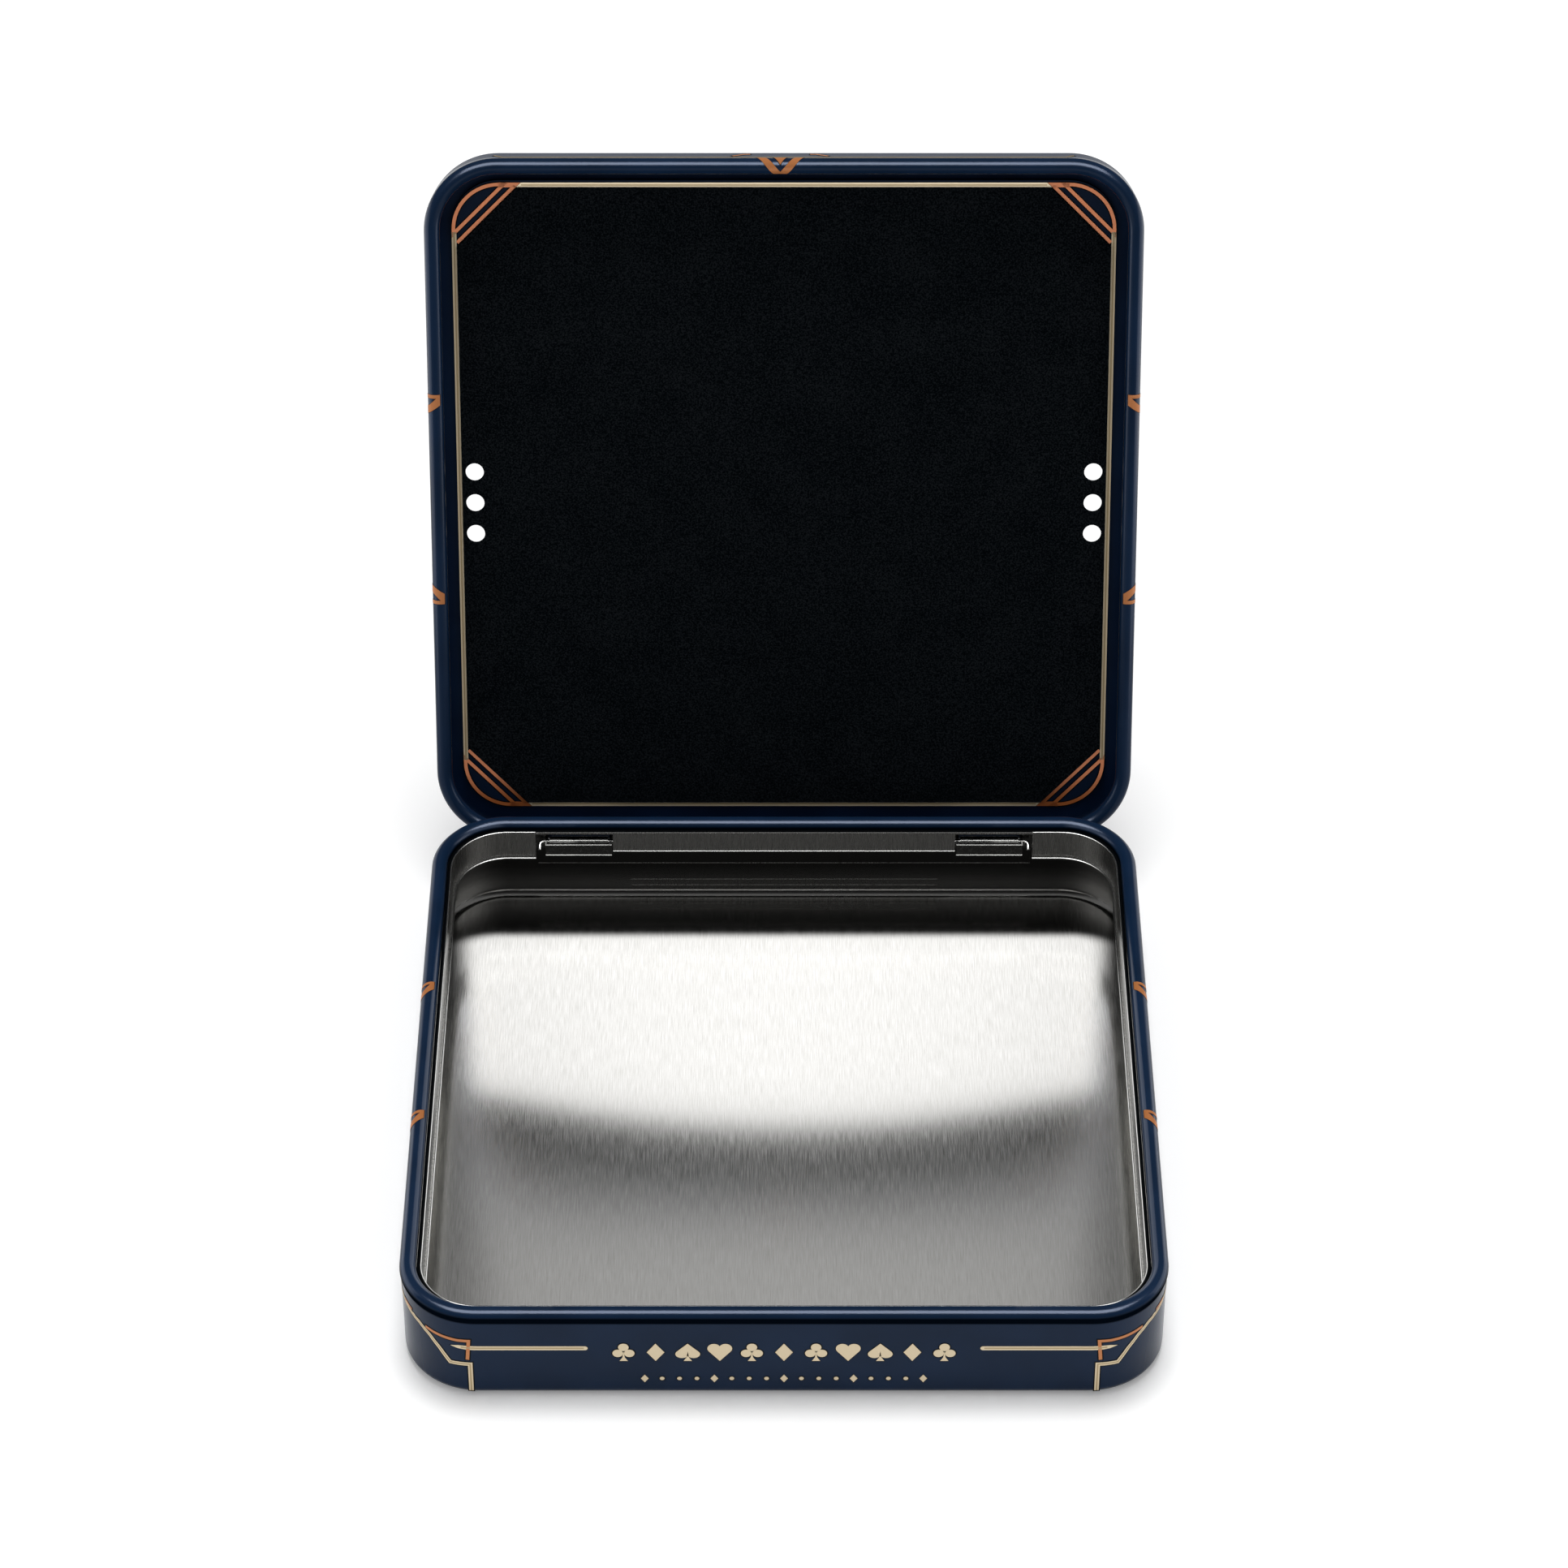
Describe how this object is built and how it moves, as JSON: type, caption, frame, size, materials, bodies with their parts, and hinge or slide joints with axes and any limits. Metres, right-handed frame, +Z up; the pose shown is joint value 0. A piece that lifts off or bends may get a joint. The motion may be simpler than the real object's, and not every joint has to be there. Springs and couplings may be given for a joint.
{
  "type": "card game tin with hinged lid",
  "caption": "Square metal card tin with rounded corners and rolled rims, standing open, its vented and felt-faced lid leaning back on sheet-metal hinges.",
  "frame": {"origin": "centre of the tray's underside, on the surface the tin stands on", "axes": "+Z up; +Y from the tray's front towards its hinge; +X along the hinge, towards the tin's right side seen from the front"},
  "size_m": [0.135, 0.19, 0.138],
  "materials": {
    "tray_lacquer": "navy lacquer outside, bare tinplate inside",
    "lid_lacquer": "navy lacquer on both sides",
    "collar_tinplate": "bare tinplate",
    "hinge_steel": "bright sheet steel",
    "pin_wire": "drawn wire",
    "printed_board": "dark navy print with gilt and copper lines",
    "black_felt": "flocked black felt"
  },
  "bodies": {
    "tray": {"tray_shell": "tray_lacquer", "inner_collar": "collar_tinplate", "left_hinge_bracket": "hinge_steel", "right_hinge_bracket": "hinge_steel", "left_hinge_pin": "pin_wire", "right_hinge_pin": "pin_wire"},
    "lid": {"lid_shell": "lid_lacquer", "lid_board": "printed_board", "lid_felt": "black_felt", "left_hinge_strap": "hinge_steel", "right_hinge_strap": "hinge_steel"}
  },
  "joints": [
    {"name": "lid_hinge", "type": "hinge", "parent": "tray", "child": "lid", "pos_m": [0, 0.0655, 0.015], "axis": [1, 0, 0], "range_deg": [0, 109.6]}
  ]
}
